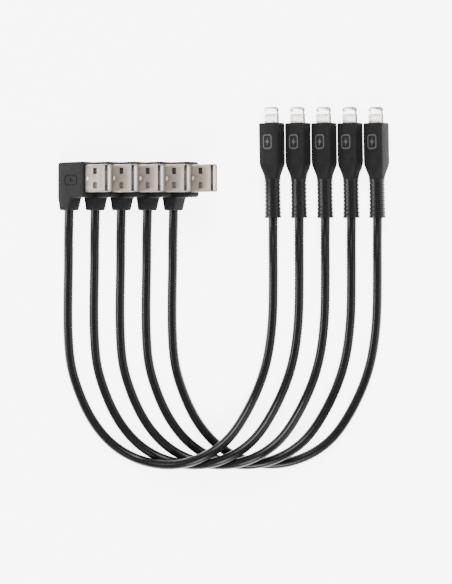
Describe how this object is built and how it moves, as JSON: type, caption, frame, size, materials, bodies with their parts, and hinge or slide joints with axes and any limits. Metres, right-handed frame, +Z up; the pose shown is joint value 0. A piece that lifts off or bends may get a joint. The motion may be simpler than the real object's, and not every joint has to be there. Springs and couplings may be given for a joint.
{
  "type": "charging cable set",
  "caption": "Set of black charging cables, each a right-angle USB-A plug and a slim eight-pin phone plug on a cord bent in a U, laid side by side.",
  "frame": {"origin": "on the surface the cables lie on, under the middle of the plugs; the cords are left out of that middle", "axes": "+X along the row, from the USB plugs to the phone plugs; +Y the way the phone plugs point; +Z up from the surface"},
  "size_m": [0.1454, 0.159, 0.0219],
  "materials": {
    "black_plastic": "fine matt moulded",
    "black_jacket": "satin",
    "nickel_shell": "nickel plated, satin",
    "bright_tab": "bright nickel",
    "white_plastic": "moulded",
    "gold_contact": "gold plated"
  },
  "bodies": {
    "cable_5": {"cable_5_usb_overmould": "black_plastic", "cable_5_usb_shell": "nickel_shell", "cable_5_usb_tongue": "white_plastic", "cable_5_usb_contact_1": "gold_contact", "cable_5_usb_contact_2": "gold_contact", "cable_5_usb_contact_3": "gold_contact", "cable_5_usb_contact_4": "gold_contact", "cable_5_cord": "black_jacket", "cable_5_strain_relief": "black_plastic", "cable_5_phone_plug_housing": "black_plastic", "cable_5_phone_plug_tab": "bright_tab", "cable_5_phone_plug_contacts": "gold_contact"},
    "cable_4": {"cable_4_usb_overmould": "black_plastic", "cable_4_usb_shell": "nickel_shell", "cable_4_usb_tongue": "white_plastic", "cable_4_usb_contact_1": "gold_contact", "cable_4_usb_contact_2": "gold_contact", "cable_4_usb_contact_3": "gold_contact", "cable_4_usb_contact_4": "gold_contact", "cable_4_cord": "black_jacket", "cable_4_strain_relief": "black_plastic", "cable_4_phone_plug_housing": "black_plastic", "cable_4_phone_plug_tab": "bright_tab", "cable_4_phone_plug_contacts": "gold_contact"},
    "cable_3": {"cable_3_usb_overmould": "black_plastic", "cable_3_usb_shell": "nickel_shell", "cable_3_usb_tongue": "white_plastic", "cable_3_usb_contact_1": "gold_contact", "cable_3_usb_contact_2": "gold_contact", "cable_3_usb_contact_3": "gold_contact", "cable_3_usb_contact_4": "gold_contact", "cable_3_cord": "black_jacket", "cable_3_strain_relief": "black_plastic", "cable_3_phone_plug_housing": "black_plastic", "cable_3_phone_plug_tab": "bright_tab", "cable_3_phone_plug_contacts": "gold_contact"},
    "cable_2": {"cable_2_usb_overmould": "black_plastic", "cable_2_usb_shell": "nickel_shell", "cable_2_usb_tongue": "white_plastic", "cable_2_usb_contact_1": "gold_contact", "cable_2_usb_contact_2": "gold_contact", "cable_2_usb_contact_3": "gold_contact", "cable_2_usb_contact_4": "gold_contact", "cable_2_cord": "black_jacket", "cable_2_strain_relief": "black_plastic", "cable_2_phone_plug_housing": "black_plastic", "cable_2_phone_plug_tab": "bright_tab", "cable_2_phone_plug_contacts": "gold_contact"},
    "cable_1": {"cable_1_usb_overmould": "black_plastic", "cable_1_usb_shell": "nickel_shell", "cable_1_usb_tongue": "white_plastic", "cable_1_usb_contact_1": "gold_contact", "cable_1_usb_contact_2": "gold_contact", "cable_1_usb_contact_3": "gold_contact", "cable_1_usb_contact_4": "gold_contact", "cable_1_cord": "black_jacket", "cable_1_strain_relief": "black_plastic", "cable_1_phone_plug_housing": "black_plastic", "cable_1_phone_plug_tab": "bright_tab", "cable_1_phone_plug_contacts": "gold_contact"}
  },
  "joints": [
    {"name": "cable_4_lift", "type": "slide", "parent": "cable_5", "child": "cable_4", "axis": [0, 0, 1], "range_m": [0, 0.06]},
    {"name": "cable_3_lift", "type": "slide", "parent": "cable_4", "child": "cable_3", "axis": [0, 0, 1], "range_m": [0, 0.06]},
    {"name": "cable_2_lift", "type": "slide", "parent": "cable_3", "child": "cable_2", "axis": [0, 0, 1], "range_m": [0, 0.06]},
    {"name": "cable_1_lift", "type": "slide", "parent": "cable_2", "child": "cable_1", "axis": [0, 0, 1], "range_m": [0, 0.06]}
  ]
}
